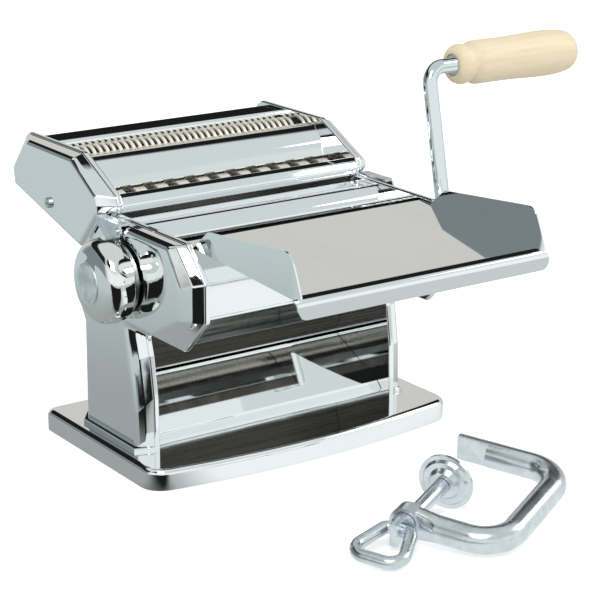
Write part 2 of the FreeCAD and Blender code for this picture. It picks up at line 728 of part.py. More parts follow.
def make_crank():
    """The crank rod with its cross pin, the steel neck collar and the turned wooden grip."""
    points = crank_points()
    rod = bent_rod(points, rod_diameter / 2, crank_bend_radius)
    pin_x = socket_end - socket_slot_depth + crank_pin_diameter / 2 + 0.5
    pin_half = journal_right_diameter / 2 - 0.2
    pin = Part.makeCylinder(
        crank_pin_diameter / 2, 2 * pin_half, Vector(pin_x, drive_roller_y - pin_half, roller_axis_height),
        Vector(0, 1, 0),
    )
    nodes["crank_rod"] = rod.cut(pin)
    nodes["crank_pin"] = pin
    y, z = points[3].y, points[3].z
    flange = ring_x(y, z, 5.6, rod_diameter / 2, grip_start + 1.0, grip_start + 2.4)
    nodes["crank_collar"] = flange
    rim = grip_rim_diameter / 2
    barrel = grip_diameter / 2
    profile = [
        Vector(grip_start + 0.8, y, z + rim - 1.4), Vector(grip_start + 4.0, y, z + rim + 0.4),
        Vector(grip_start + 8.0, y, z + rim), Vector(grip_start + 10.4, y, z + grip_neck_diameter / 2),
        Vector(grip_start + 12.6, y, z + barrel - 1.0), Vector(grip_start + 17.0, y, z + barrel - 0.2),
        Vector(grip_start + 45.0, y, z + barrel), Vector(grip_end - 10.0, y, z + barrel - 0.3),
        Vector(grip_end - 4.6, y, z + barrel - 1.9), Vector(grip_end - 1.2, y, z + barrel - 6.0),
        Vector(grip_end, y, z + 2.0),
    ]
    curve = Part.BSplineCurve()
    curve.interpolate(profile)
    start = Vector(grip_start, y, z + rim - 2.6)
    edges = [
        Part.LineSegment(Vector(grip_start, y, z), start).toShape(),
        Part.LineSegment(start, profile[0]).toShape(),
        curve.toShape(),
        Part.LineSegment(profile[-1], Vector(grip_end, y, z)).toShape(),
        Part.LineSegment(Vector(grip_end, y, z), Vector(grip_start, y, z)).toShape(),
    ]
    grip = Part.Face(Part.Wire(edges)).revolve(Vector(0, y, z), Vector(1, 0, 0), 360)
    bore = rod_x(y, z, rod_diameter / 2 + bore_clearance, grip_start - 1, grip_start + grip_rod_depth + 0.5)
    recess = rod_x(y, z, 6.2, grip_start - 1, grip_start + 2.8)
    nodes["crank_grip"] = grip.cut(bore).cut(recess).removeSplitter()


def cutter_pair_places(front_y, front_z, tilt):
    """The two axes of a cutter pair, as (y, z)."""
    angle = math.radians(tilt)
    back = (front_y + cutter_spacing * math.cos(angle), front_z + cutter_spacing * math.sin(angle))
    return [(front_y, front_z), back]


def cutter_shaft(y, z, pitch, shift, driven):
    """A cutter with discs and grooves, its journals and, where the crank drives it, a socket."""
    half = roller_half_length - 0.6
    disc = pitch / 2 - disc_side_gap
    count = int(2 * half / pitch) + 2
    core = cutter_core_diameter / 2
    tip = cutter_disc_diameter / 2
    profile = [(-half, 0.0), (-half, core)]
    for i in range(-count, count):
        low = i * pitch + shift - disc / 2
        high = low + disc
        low, high = max(low, -half), min(high, half)
        if high - low < 0.3:
            continue
        if low > profile[-1][0]:
            profile.append((low, core))
        else:
            profile.pop()
        profile.extend([(low, tip), (high, tip)])
        if high < half:
            profile.append((high, core))
    if profile[-1][0] < half:
        profile.append((half, core))
    profile.append((half, 0.0))
    shaft = lathe_x(profile, y, z)
    journal = cutter_journal_diameter / 2
    left = rod_x(y, z, journal, -gear_inner - gear_face, -half)
    if not driven:
        right = rod_x(y, z, journal, half, plate_outer + 1.0)
        return shaft.fuse([left, right]).removeSplitter()
    end = cover_outer_right + 0.6
    right = rod_x(y, z, journal_right_diameter / 2, half, end)
    socket = rod_x(y, z, socket_diameter / 2, end - socket_depth, end + 1)
    slot = box(
        end - socket_slot_depth, end + 1, y - journal_right_diameter, y + journal_right_diameter,
        z - socket_slot_width / 2, z + socket_slot_width / 2,
    )
    return shaft.fuse([left, right]).cut(socket).cut(slot).removeSplitter()


def make_cutter_unit():
    """The double cutter unit: plates, covers, guards, tie rods, combs, shafts and gears."""
    narrow = cutter_pair_places(narrow_front_y, narrow_front_z, narrow_tilt)
    wide = cutter_pair_places(wide_front_y, wide_front_z, wide_tilt)
    outline = offset_points(cutter_rim, -plate_reveal)
    radii = [3.0, 4.0, 8.0, 5.0, 3.0, 3.0, 3.0, 3.0]
    blank = prism_x(outline, plate_inner, plate_outer, radii)
    rim = [e for e in blank.Edges if e.BoundBox.XLength < 0.01]
    blank = blank.makeFillet(plate_edge_radius, rim)
    for y, z in cutter_tie_places():
        blank = blank.cut(rod_x(y, z, 1.6, plate_inner - 1, plate_outer + 1))
    holes = {-1: [], 1: []}
    for pair in (narrow, wide):
        for index, (y, z) in enumerate(pair):
            journal = cutter_journal_diameter / 2
            big = journal_right_diameter / 2
            driven = index == 0
            holes[-1].append(rod_x(y, z, journal + bore_clearance, plate_inner - 1, plate_outer + 1))
            holes[1].append(rod_x(y, z, (big if driven else journal) + bore_clearance, plate_inner - 1, plate_outer + 1))
    nodes["cutter_left_plate"] = mirrored(blank.cut(Part.makeCompound(holes[-1]))).removeSplitter()
    nodes["cutter_right_plate"] = blank.cut(Part.makeCompound(holes[1])).removeSplitter()

    screw_y, screw_z = 50.0, 124.3
    screw_hole = rod_x(screw_y, screw_z, 1.6, plate_outer, cover_outer + 1)
    face_right = offset_points(cutter_rim, cover_draft_right)
    right = pan_shell(cutter_rim[::-1], face_right[::-1], cover_depth_right, False).cut(screw_hole)
    left = pan_shell(cutter_rim[::-1], cutter_face_left[::-1], cover_depth, False).cut(screw_hole)
    for pair in (narrow, wide):
        y, z = pair[0]
        right = right.cut(rod_x(y, z, journal_right_diameter / 2 + 0.8, plate_outer, cover_outer + 1))
    nodes["cutter_right_cover"] = right
    nodes["cutter_left_cover"] = mirrored(left)
    screws, posts = [], []
    for side, outer in ((-1, cover_outer), (1, cover_outer_right)):
        screw = screw_x(screw_y, screw_z, outer + 1.6, outer - plate_outer - 0.6, 1)
        post = ring_x(screw_y, screw_z, 3.6, 1.5, plate_outer, outer - cover_sheet)
        screws.append(mirrored(screw) if side < 0 else screw)
        posts.append(mirrored(post) if side < 0 else post)
    nodes["cutter_cover_screws"] = group(screws)
    nodes["cutter_cover_posts"] = group(posts)

    rods = []
    for y, z in cutter_tie_places():
        middle = rod_x(y, z, 2.6, -plate_inner, plate_inner)
        ends = rod_x(y, z, 1.5, -plate_outer - 1.5, plate_outer + 1.5)
        rods.append(middle.fuse(ends).removeSplitter())
    nodes["cutter_tie_rods"] = group(rods)

    rear = [(90.6, 131.0), (90.6, 147.5), (85.5, 152.2), (66.5, 152.2), (66.5, 147.0)]
    nodes["cutter_rear_guard"] = bent_sheet(rear, guard_sheet, 1.5, -plate_inner, plate_inner)
    middle = [
        (33.5, 148.4), (33.5, 151.0), (29.5, 151.2), (23.5, 145.4), (15.4, 136.8),
    ]
    nodes["cutter_middle_guard"] = bent_sheet(middle, guard_sheet, 1.5, -plate_inner, plate_inner)
    front = [(6.0, 134.2), (4.0, 136.4), (-1.8, 135.2), (-4.6, 131.5), (-3.4, 127.5), (6.5, 117.5)]
    nodes["cutter_front_guard"] = bent_sheet(front, guard_sheet, 1.5, -plate_inner, plate_inner)

    for name, pair, angles in (("narrow", narrow, (292, 248)), ("wide", wide, (292, 252))):
        reach = cutter_disc_diameter / 2 + slip + 0.3
        combs = []
        for (y, z), degrees in zip(pair, angles):
            angle = math.radians(degrees)
            length = comb_length if name == "narrow" else comb_length - 1.6
            tip = (y + reach * math.cos(angle), z + reach * math.sin(angle))
            foot = (tip[0] + length * math.cos(angle), tip[1] + length * math.sin(angle))
            across = (0.5 * math.sin(angle), -0.5 * math.cos(angle))
            strip = [
                (tip[0] + across[0], tip[1] + across[1]), (foot[0] + across[0], foot[1] + across[1]),
                (foot[0] - across[0], foot[1] - across[1]), (tip[0] - across[0], tip[1] - across[1]),
            ]
            combs.append(prism_x(strip, -plate_inner, plate_inner))
        nodes[name + "_combs"] = group(combs)

    hooks = []
    for side, outer, cover in ((-1, cover_outer, left), (1, cover_outer_right, right)):
        inside = outer + slip
        flange = box(outer - 4.0, inside + 1.2, -26.0, -3.0, head_top + 0.4, head_top + 1.6)
        tab = [
            (-2.0, head_top + 1.6), (-26.0, head_top + 1.6), (-28.0, 124.5), (-26.0, 119.6),
            (-12.0, 119.6), (-4.0, 125.0),
        ]
        plate = prism_x(tab, inside, inside + 1.2, 1.5)
        rivet = rod_x(-24.0, 124.9, 1.7, inside + 1.0, inside + 1.9)
        hook = flange.fuse([plate, rivet]).cut(cover).removeSplitter()
        hooks.append(mirrored(hook) if side < 0 else hook)
    nodes["cutter_hooks"] = group(hooks)

    for name, pair, pitch in (("narrow", narrow, narrow_pitch), ("wide", wide, wide_pitch)):
        direction = math.atan2(pair[1][1] - pair[0][1], pair[1][0] - pair[0][0])
        for index, (y, z) in enumerate(pair):
            role = "front" if index == 0 else "rear"
            shift = 0.0 if index == 0 else pitch / 2
            nodes[name + "_cutter_" + role] = cutter_shaft(y, z, pitch, shift, index == 0)
            phase = direction if index == 0 else facing_phase(cutter_gear_teeth, direction + math.pi)
            nodes[name + "_gear_" + role] = gear_x(
                y, z, cutter_gear_teeth, cutter_journal_diameter, -gear_inner - gear_face, -gear_inner, phase
            )


def cutter_tie_places():
    """Where the cutter unit's tie rods join its plates, as (y, z)."""
    return [(82.5, 137.0), (46.0, 119.5)]


def make_tray():
    """The feed tray: a sloping sheet with two upright wings and a lip folded down at its front."""
    slope = math.tan(math.radians(tray_slope))

    def top_z(y):
        return tray_back_z + (y - tray_back_y) * slope

    front_z = top_z(tray_front_y)
    floor = [
        (tray_back_y + 7.0, top_z(tray_back_y) - 2.0), (tray_back_y, top_z(tray_back_y)),
        (tray_front_y, front_z), (tray_front_y - 1.2, front_z - tray_lip),
    ]
    sheet = bent_sheet(floor, tray_sheet, tray_lip_radius, -tray_half_width, tray_half_width)
    lip_half = tray_half_width + tray_lip_overhang
    lip = bent_sheet(
        [(tray_front_y + tray_lip_radius + 1.6, top_z(tray_front_y + tray_lip_radius + 1.6))] + floor[2:],
        tray_sheet, tray_lip_radius, -lip_half, lip_half,
    )
    corner = [
        e for e in lip.Edges
        if e.BoundBox.XLength < 0.01 and e.BoundBox.ZMax < front_z - tray_lip + tray_sheet + 0.2
        and e.BoundBox.ZMin < front_z - tray_lip + 0.3
    ]
    lip = lip.makeFillet(5.0, corner) if corner else lip
    sheet = sheet.cut(box(-100, 100, tray_front_y - 5, tray_front_y + tray_lip_radius + 1.6, 90, 130)).fuse(lip)
    wing = [
        (tray_wing_y, top_z(tray_wing_y)), (tray_front_y + 1.2, top_z(tray_front_y + 1.2)),
        (tray_front_y, front_z + 1.4),
        (tray_front_y + 3.6, front_z + 10.5),
        (tray_front_y + wing_front_set, front_z + wing_front_height),
        (tray_wing_y - wing_back_set, top_z(tray_wing_y - wing_back_set) + wing_back_height),
    ]
    wing_radii = [0.0, 0.0, 0.0, 6.0, wing_front_radius, 2.0]
    low = [(y, z - tray_sheet / 2) if i < 2 else (y, z) for i, (y, z) in enumerate(wing)]
    right = prism_x(low, tray_half_width - tray_sheet, tray_half_width, wing_radii)
    nodes["feed_tray"] = sheet.fuse([right, mirrored(right)]).removeSplitter()


def clamp_placement():
    """Where the clamp lies, with its lower corner and its handle on the surface."""
    turn = Rotation(Vector(0, 0, 1), clamp_yaw)
    rise = Rotation(Vector(1, 0, 0), clamp_pitch)
    lean = Rotation(Vector(0, 1, 0), -clamp_tilt)
    return Placement(Vector(clamp_corner_x, clamp_corner_y, clamp_rod / 2), turn * rise * lean)


def make_clamp():
    """The clamp, modelled flat with its spine along X and its arms along Y, then laid in place."""
    place = clamp_placement()
    radius = clamp_rod / 2
    spine = Vector(clamp_spine, 0, 0)
    points = [
        spine + Vector(0, clamp_upper_arm, 0), spine, Vector(0, 0, 0),
        Vector(0, clamp_lower_arm - 16.0, 0),
    ]
    rod = bent_rod(points, radius, clamp_bend_radius)
    flat = box(
        clamp_spine - radius - 1, clamp_spine + radius - clamp_flat_height,
        clamp_upper_arm - clamp_flat_length, clamp_upper_arm + 1, -radius - 1, radius + 1,
    )
    rod = rod.cut(flat)
    half = clamp_eye_half_height
    thick = clamp_eye_thickness / 2
    circle = Part.Wire(Part.makeCircle(radius, Vector(0, clamp_lower_arm - 16.0, 0), Vector(0, 1, 0)))
    flat_wire = Part.Wire(rounded_edges(
        [
            Vector(-thick, clamp_lower_arm - 5.0, -half), Vector(thick, clamp_lower_arm - 5.0, -half),
            Vector(thick, clamp_lower_arm - 5.0, half), Vector(-thick, clamp_lower_arm - 5.0, half),
        ],
        [3.0] * 4,
    ))
    neck = Part.makeLoft([circle, flat_wire], True, True)
    eye_end = Part.makeCylinder(half, 2 * thick, Vector(-thick, clamp_lower_arm, 0), Vector(1, 0, 0))
    eye_block = box(-thick, thick, clamp_lower_arm - 5.0, clamp_lower_arm, -half, half)
    eye = eye_end.fuse(eye_block).removeSplitter()
    hole = rod_at(clamp_screw_diameter / 2 + bore_clearance, -20, 20)
    frame = rod.fuse([neck, eye]).cut(hole).removeSplitter()
    nodes["clamp_frame"] = placed(frame, place)

    pad_face = clamp_pad_reach
    steps = [(0.0, 15.8), (1.0, 15.8), (1.6, 14.6), (1.6, 12.2), (3.0, 11.0), (3.0, 8.4), (5.4, 6.6), (5.4, 0.0)]
    profile = [Vector(pad_face, 0, 0)]
    profile += [Vector(pad_face - depth, 0, min(r, clamp_pad_radius)) for depth, r in steps]
    pad = Part.Face(Part.makePolygon(profile + profile[:1])).revolve(Vector(0, 0, 0), Vector(1, 0, 0), 360)
    dish = Part.makeCylinder(10.0, 0.9, Vector(pad_face - 0.9, 0, 0), Vector(1, 0, 0))
    stem = Part.makeCylinder(3.0 + bore_clearance, 20, Vector(pad_face - 8, 0, 0), Vector(1, 0, 0))
    at_axis = Placement(Vector(0, clamp_lower_arm, 0), Rotation())
    nodes["clamp_pad"] = placed(placed(pad.cut(dish).cut(stem), at_axis), place)

    shaft = rod_at(clamp_screw_diameter / 2, -thick - slip, pad_face - 5.4 - slip)
    tip = rod_at(3.0, pad_face - 5.4 - slip, pad_face - 0.9 + slip)
    rivet = rod_at(4.4, pad_face - 0.9 + slip, pad_face)
    collar = rod_at(6.0, -clamp_tail_reach + handle_wire / 2 + slip, -thick - slip)
    tail = rod_at(6.0, -clamp_tail_reach - 6.0, -thick - slip)
    tail = tail.common(box(
        -clamp_tail_reach - 6.0, 0, clamp_lower_arm - handle_tail_half, clamp_lower_arm + handle_tail_half, -7, 7,
    ))
    screw = shaft.fuse([tip, rivet, collar, tail])
    wire_hole = Part.makeCylinder(
        handle_wire / 2 + bore_clearance, 40, Vector(-clamp_tail_reach, clamp_lower_arm - 20, 0), Vector(0, 1, 0)
    )
    nodes["clamp_screw"] = placed(screw.cut(wire_hole).removeSplitter(), place)

    nodes["clamp_handle"] = placed(handle_loop(), place)


def rod_at(radius, x0, x1):
    """A cylinder on the clamp screw's axis."""
    return Part.makeCylinder(radius, x1 - x0, Vector(x0, clamp_lower_arm, 0), Vector(1, 0, 0))


def placed(shape, place):
    """A copy of a shape under a placement."""
    copy = shape.copy()
    copy.transformShape(place.toMatrix())
    return copy


def handle_loop():
    """The triangular wire loop that turns the clamp screw. It droops until it lies on the surface."""
    x0 = -clamp_tail_reach
    half = handle_width / 2
    near = 6.6
    points = [
        Vector(x0, -near, 0), Vector(x0, near, 0),
        Vector(x0 - handle_length, half, 0), Vector(x0 - handle_length, -half, 0),
    ]
    wire = Part.Wire(rounded_edges(points, [3.6, 3.6, 7.0, 7.0]))
    straight = [e for e in wire.Edges if e.Length > 1]
    start = straight[0].valueAt(straight[0].FirstParameter)
    tangent = straight[0].tangentAt(straight[0].FirstParameter)
    section = Part.Wire(Part.makeCircle(handle_wire / 2, start, tangent))
    loop = wire.makePipeShell([section], True, False, 2)
    droop = Placement(Vector(0, clamp_lower_arm, 0), Rotation())
    swing = Placement(Vector(x0, 0, 0), Rotation(Vector(0, 1, 0), -handle_droop()))
    back = Placement(Vector(-x0, 0, 0), Rotation())
    return placed(placed(placed(loop, back), swing), droop)


def handle_droop():
    """How far the loop swings up about its axis so that its wire lies on the surface, in degrees."""
    place = clamp_placement()
    low, high = -20.0, 20.0
    for step in range(40):
        angle = (low + high) / 2
        reach = Vector(-handle_length, 0, 0)
        turned = Rotation(Vector(0, 1, 0), -angle).multVec(reach)
        point = place.multVec(Vector(-clamp_tail_reach, clamp_lower_arm - handle_width / 2, 0) + turned)
        if point.z > handle_wire / 2:
            low = angle
        else:
            high = angle
    return angle


def main():
    make_base()
    make_sides()
    make_frame_inside()
    make_rollers()
    make_adjuster()
    make_crank()
    make_cutter_unit()
    make_tray()
    make_clamp()
    os.makedirs("parts", exist_ok=True)
    for name, shape in nodes.items():
        shape.exportStep(os.path.join("parts", name + ".step"))
        print(name, len(shape.Solids), shape.isValid(), round(shape.Volume, 1))


main()
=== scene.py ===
"""Looks of the hand cranked pasta machine: finishes by slot and by piece, studio and camera."""
import json
import logging
import math
from dataclasses import dataclass, field
from enum import Enum
from typing import Any

import bmesh
import bpy
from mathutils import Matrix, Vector

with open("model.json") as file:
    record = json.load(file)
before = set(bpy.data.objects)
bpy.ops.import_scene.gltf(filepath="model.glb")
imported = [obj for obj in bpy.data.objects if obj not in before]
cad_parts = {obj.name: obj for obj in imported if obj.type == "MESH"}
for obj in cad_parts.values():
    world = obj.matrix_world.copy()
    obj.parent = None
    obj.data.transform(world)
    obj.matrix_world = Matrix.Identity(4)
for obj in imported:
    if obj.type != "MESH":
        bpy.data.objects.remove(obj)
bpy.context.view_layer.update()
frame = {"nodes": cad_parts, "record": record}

logging.basicConfig(level=logging.INFO, format="%(message)s")
log = logging.getLogger("pasta_machine")

Colour = tuple[float, float, float]
Triple = tuple[float, float, float]
Span = tuple[float, float]

MM = 0.001

# Sockets of a Mix node that mixes colours.
MIX_SHARE = 0
MIX_FIRST = 6
MIX_SECOND = 7
MIX_RESULT = 2


class Axis(Enum):
    """An axis of the frame: X to the crank, Y to the back and Z up."""

    X = 0
    Y = 1
    Z = 2


def scaled(colour: Colour, factor: float, lift: float = 0.0) -> Colour:
    """A colour times a factor, with the same lift on each channel."""
    return tuple(factor * channel + lift for channel in colour)


class Value:
    """One output of a node tree, on which Python's operators work."""

    def __init__(self, tree: "Tree", socket: Any) -> None:
        """Keeps the output and the tree that it belongs to."""
        self.tree = tree
        self.socket = socket

    def _apply(self, operation: str, *sides: Any) -> "Value":
        """The result of one Math node."""
        made = self.tree.add("ShaderNodeMath", {"operation": operation}, sides)
        return Value(self.tree, made.outputs[0])

    def __add__(self, other: Any) -> "Value":
        """self + other."""
        return self._apply("ADD", self, other)

    def __radd__(self, other: Any) -> "Value":
        """other + self."""
        return self._apply("ADD", other, self)

    def __sub__(self, other: Any) -> "Value":
        """self - other."""
        return self._apply("SUBTRACT", self, other)

    def __rsub__(self, other: Any) -> "Value":
        """other - self."""
        return self._apply("SUBTRACT", other, self)

    def __mul__(self, other: Any) -> "Value":
        """self * other."""
        return self._apply("MULTIPLY", self, other)

    def __rmul__(self, other: Any) -> "Value":
        """other * self."""
        return self._apply("MULTIPLY", other, self)

    def __pow__(self, other: Any) -> "Value":
        """self ** other."""
        return self._apply("POWER", self, other)

    def __abs__(self) -> "Value":
        """abs(self)."""
        return self._apply("ABSOLUTE", self)

    def low(self, other: Any) -> "Value":
        """The lesser of the two."""
        return self._apply("MINIMUM", self, other)

    def high(self, other: Any) -> "Value":
        """The greater of the two."""
        return self._apply("MAXIMUM", self, other)

    def band(self, start: float, full: float) -> "Value":
        """A smooth step.

        Args:
            start: the number that gives 0.
            full: the number that gives 1, above the start or below it.

        Returns:
            The step, which stays between 0 and 1.
        """
        made = self.tree.add(
            "ShaderNodeMapRange", {"interpolation_type": "SMOOTHSTEP"},
            {"Value": self, "From Min": start, "From Max": full},
        )
        return Value(self.tree, made.outputs[0])

    def part(self, axis: Axis) -> "Value":
        """One coordinate of a vector."""
        made = self.tree.add("ShaderNodeSeparateXYZ", {}, [self])
        return Value(self.tree, made.outputs[axis.value])


class Tree:
    """A node tree that is written as expressions."""

    def __init__(self, owner: Any) -> None:
        """Clears the tree of a material or a world.

        Args:
            owner: the material or world.
        """
        owner.use_nodes = True
        self.nodes = owner.node_tree.nodes
        self.links = owner.node_tree.links
        self.nodes.clear()

    def feed(self, socket: Any, value: Any) -> None:
        """Links an input or sets it.

        Args:
            socket: the input.
            value: what it gets: a value, an output, a number, a vector or a colour.
        """
        if isinstance(value, Value):
            self.links.new(value.socket, socket)
        elif isinstance(value, bpy.types.NodeSocket):
            self.links.new(value, socket)
        elif socket.type == "RGBA":
            socket.default_value = (*value, 1.0)
        else:
            socket.default_value = value

    def add(self, kind: str, settings: dict[str, Any], inputs: Any) -> Any:
        """Adds a node.

        Args:
            kind: the node's type.
            settings: its own settings, which are set before its inputs.
            inputs: what its inputs get, in their order or by name or number.

        Returns:
            The node.
        """
        made = self.nodes.new(kind)
        for name, setting in settings.items():
            setattr(made, name, setting)
        for key, value in inputs.items() if isinstance(inputs, dict) else enumerate(inputs):
            self.feed(made.inputs[key], value)
        return made

    def place(self) -> Value:
        """Object coordinates, which are the frame's metres."""
        return Value(self, self.add("ShaderNodeTexCoord", {}, {}).outputs["Object"])

    def direction(self) -> Value:
        """The direction in which a ray leaves for the world."""
        return Value(self, self.add("ShaderNodeTexCoord", {}, {}).outputs["Generated"])

    def stretched(self, scale: Triple) -> Value:
        """Object coordinates with a scale for each axis."""
        made = self.add("ShaderNodeMapping", {}, {"Vector": self.place(), "Scale": scale})
        return Value(self, made.outputs[0])

    def rays(self) -> tuple[Value, Value]:
        """Whether a ray comes straight from the camera, and whether it is a reflection."""
        path = self.add("ShaderNodeLightPath", {}, {}).outputs
        return Value(self, path["Is Camera Ray"]), Value(self, path["Is Glossy Ray"])

    def blend(self, share: Any, first: Any, second: Any) -> Value:
        """A colour between two.

        Args:
            share: 0 for the first, 1 for the second.
            first: a colour.
            second: a colour.

        Returns:
            The colour.
        """
        inputs = {MIX_SHARE: share, MIX_FIRST: first, MIX_SECOND: second}
        made = self.add("ShaderNodeMix", {"data_type": "RGBA"}, inputs)
        return Value(self, made.outputs[MIX_RESULT])

    def bump(self, height: Value, depth: float = 1.0) -> Value:
        """The normal over a height field, with the metres that a height of 1 stands for."""
        inputs = {"Strength": 1.0, "Distance": depth, "Height": height}
        return Value(self, self.add("ShaderNodeBump", {}, inputs).outputs[0])

    def surface(self, **sockets: Any) -> None:
        """Ends a material in one Principled BSDF.

        Args:
            sockets: its inputs, with underscores for spaces.
        """
        inputs = {name.replace("_", " "): value for name, value in sockets.items()}
        self.end(self.add("ShaderNodeBsdfPrincipled", {}, inputs))

    def end(self, shader: Any, kind: str = "ShaderNodeOutputMaterial") -> None:
        """Links a shader to the tree's output."""
        self.add(kind, {}, [shader.outputs[0]])


@dataclass(frozen=True)
class Pattern:
    """Noise over a piece, about 0.5.

    The scale is in features per metre. A stretch gives one scale for each axis in its place.
    A mark comes up over the span: the noise at which it starts and the noise at which it is full.
    """

    scale: float = 1.0
    stretch: Triple | None = None
    detail: float = 2.0
    rough: float = 0.5
    span: Span = (0.35, 0.75)

    def read(self, tree: Tree) -> Value:
        """Reads the noise.

        Args:
            tree: the tree that it is for.

        Returns:
            The noise.
        """
        made = tree.add("ShaderNodeTexNoise", {}, {
            "Vector": tree.stretched(self.stretch) if self.stretch else tree.place(),
            "Scale": self.scale, "Detail": self.detail, "Roughness": self.rough,
        })
        return Value(tree, made.outputs[0])

    def marks(self, noise: Value) -> Value:
        """The marks in noise that was read, from 0 to 1."""
        return noise.band(*self.span)

    def drawn(self, tree: Tree) -> Value:
        """Reads the noise and gives its marks, from 0 to 1."""
        return self.marks(self.read(tree))


@dataclass(frozen=True)
class Finish:
    """A finish of the machine, which becomes one material. Depths are in metres."""

    name: str

    def start(self) -> tuple[bpy.types.Material, Tree]:
        """An empty material and its tree."""
        made = bpy.data.materials.new(self.name)
        return made, Tree(made)

    def make(self) -> bpy.types.Material:
        """The material."""
        raise NotImplementedError


@dataclass(frozen=True)
class ChromePlate(Finish):
    """Polished chrome with the slight waves of a pressing, cloudy smears and fine wiping marks."""

    tint: Colour = (0.88, 0.90, 0.90)
    gloss: float = 0.03
    waves: Pattern = Pattern(38.0, detail=1.0)
    wave_depth: float = 0.00002
    smears: Pattern = Pattern(
        stretch=(60.0, 18.0, 30.0), detail=3.0, rough=0.6, span=(0.42, 0.78),
    )
    smear_shade: float = 0.94
    smear_share: float = 0.35
    smear_rough: float = 0.03
    wipes: Pattern = Pattern(stretch=(900.0, 60.0, 240.0))
    wipe_rough: float = 0.012

    def polish(self, tree: Tree) -> tuple[Value, Value, Value]:
        """The look of a polished face.

        Args:
            tree: the material's tree.

        Returns:
            The smears, the colour and the roughness.
        """
        cloud = self.smears.drawn(tree)
        smeared = scaled(self.tint, self.smear_shade)
        colour = tree.blend(cloud * self.smear_share, self.tint, smeared)
        rough = self.gloss + self.smear_rough * cloud + self.wipe_rough * self.wipes.read(tree)
        return cloud, colour, rough

    def make(self) -> bpy.types.Material:
        """Builds the material.

        Returns:
            The material.
        """
        made, tree = self.start()
        _, colour, rough = self.polish(tree)
        tree.surface(
            Base_Color=colour, Metallic=1.0, Roughness=rough,
            Normal=tree.bump(self.waves.read(tree), self.wave_depth),
        )
        return made


@dataclass(frozen=True)
class PartShadeAndSteel(ChromePlate):
    """Chrome on a piece that is darker in one part: painted shade on most kinds, and a satin steel
    tone on the cutter plates' inner faces. Each kind says where.
    """

    smear_rough: float = 0.02
    # The default darker tones are near-black steel: painted shade.
    shade_and_steel_tones: tuple[Colour, Colour] = ((0.11, 0.105, 0.10), (0.165, 0.1575, 0.15))
    shade_and_steel_rough: float = 0.26
    shade_and_steel_smear_rough: float = 0.10

    def shade_and_steel_share(self, place: Value) -> Value:
        """How much of the darker part shows at a place, from 0 to 1: painted shade on most kinds,
        satin steel on the cutter plates.
        """
        raise NotImplementedError

    def height(self, tree: Tree, place: Value) -> Value:
        """The height field in metres, at a place."""
        return self.waves.read(tree) * self.wave_depth

    def make(self) -> bpy.types.Material:
        """Builds the material.

        Returns:
            The material.
        """
        made, tree = self.start()
        place = tree.place()
        cloud = self.smears.drawn(tree)
        # The darker part is painted shade, except the satin steel of the cutter plates.
        shade_and_steel_share = self.shade_and_steel_share(place)
        shade_and_steel_rough = shade_and_steel_share * (self.shade_and_steel_rough + self.shade_and_steel_smear_rough * cloud)
        tree.surface(
            Base_Color=tree.blend(shade_and_steel_share, self.tint, tree.blend(cloud, *self.shade_and_steel_tones)),
            Metallic=1.0, Roughness=self.gloss + self.smear_rough * cloud + shade_and_steel_rough,
            Normal=tree.bump(self.height(tree, place)),
        )
        return made


@dataclass(frozen=True)
class InnerPlate(PartShadeAndSteel):
    """A side plate: chrome on its edge and its outside, and darker on its inner face below a
    height. The main side plates' inner faces are painted shade in near-black steel; the cutter
    plates get a satin steel tone there.
    """

    smears: Pattern = Pattern(
        stretch=(30.0, 60.0, 18.0), detail=3.0, rough=0.6, span=(0.36, 0.72),
    )
    inner: float = 73.85 * MM
    inner_edge: float = 0.08 * MM
    below: float = 108.0 * MM
    below_edge: float = 4.0 * MM

    def shade_and_steel_share(self, place: Value) -> Value:
        """How much of the inner face's darker tone shows at a place, from 0 to 1."""
        # Painted shade between the side plates: the inner face below the height in below is
        # darkened.
        inside = (self.inner - abs(place.part(Axis.X))).band(0.0, self.inner_edge)
        return inside * (self.below - place.part(Axis.Z)).band(0.0, self.below_edge)


@dataclass(frozen=True)
class ChuteSheet(PartShadeAndSteel):
    """Chrome on the chute's slope, up to its ridge, and painted shade on the wall above: near-black
    steel.

    The real slope reflects as a steeper one does, so the normals lean by the height field's lean.
    """

    waves: Pattern = Pattern(30.0, detail=1.0)
    smears: Pattern = Pattern(
        stretch=(6.0, 700.0, 700.0), detail=3.0, rough=0.6, span=(0.35, 0.72),
    )
    # Near-black tones: painted shade on the chute's wall under the head.
    shade_and_steel_tones: tuple[Colour, Colour] = ((0.050, 0.046, 0.042), (0.085, 0.078, 0.070))
    shade_and_steel_rough: float = 0.22
    shade_and_steel_smear_rough: float = 0.12
    ridge: float = 34.0 * MM
    ridge_edge: float = 1.2 * MM
    lean: float = 1.42

    def shade_and_steel_share(self, place: Value) -> Value:
        """How much of the painted shade on the wall shows at a place, from 0 to 1."""
        return (place.part(Axis.Z) - self.ridge).band(0.0, self.ridge_edge)

    def height(self, tree: Tree, place: Value) -> Value:
        """The height field in metres, at a place."""
        return super().height(tree, place) + place.part(Axis.Z).low(self.ridge) * self.lean


@dataclass(frozen=True)
class Fall:
    """A face that leans or rolls away along an axis, as drawn sheet does near a bend.

    It starts at a place on the axis, and at the reach its slope has grown to the lean. A reach
    below zero goes the other way along the axis.
    """

    axis: Axis
    start: float
    reach: float
    lean: float

    def height(self, place: Value) -> Value:
        """The height field in metres.

        Args:
            place: object coordinates.

        Returns:
            Nothing before the start, a parabola up to the reach and a straight slope past it.
        """
        way = (place.part(self.axis) - self.start) * (1.0 / self.reach)
        near = way.high(0.0).low(1.0)
        past = way.high(1.0) - 1.0
        return (near * near * 0.5 + past) * (-self.lean * abs(self.reach))


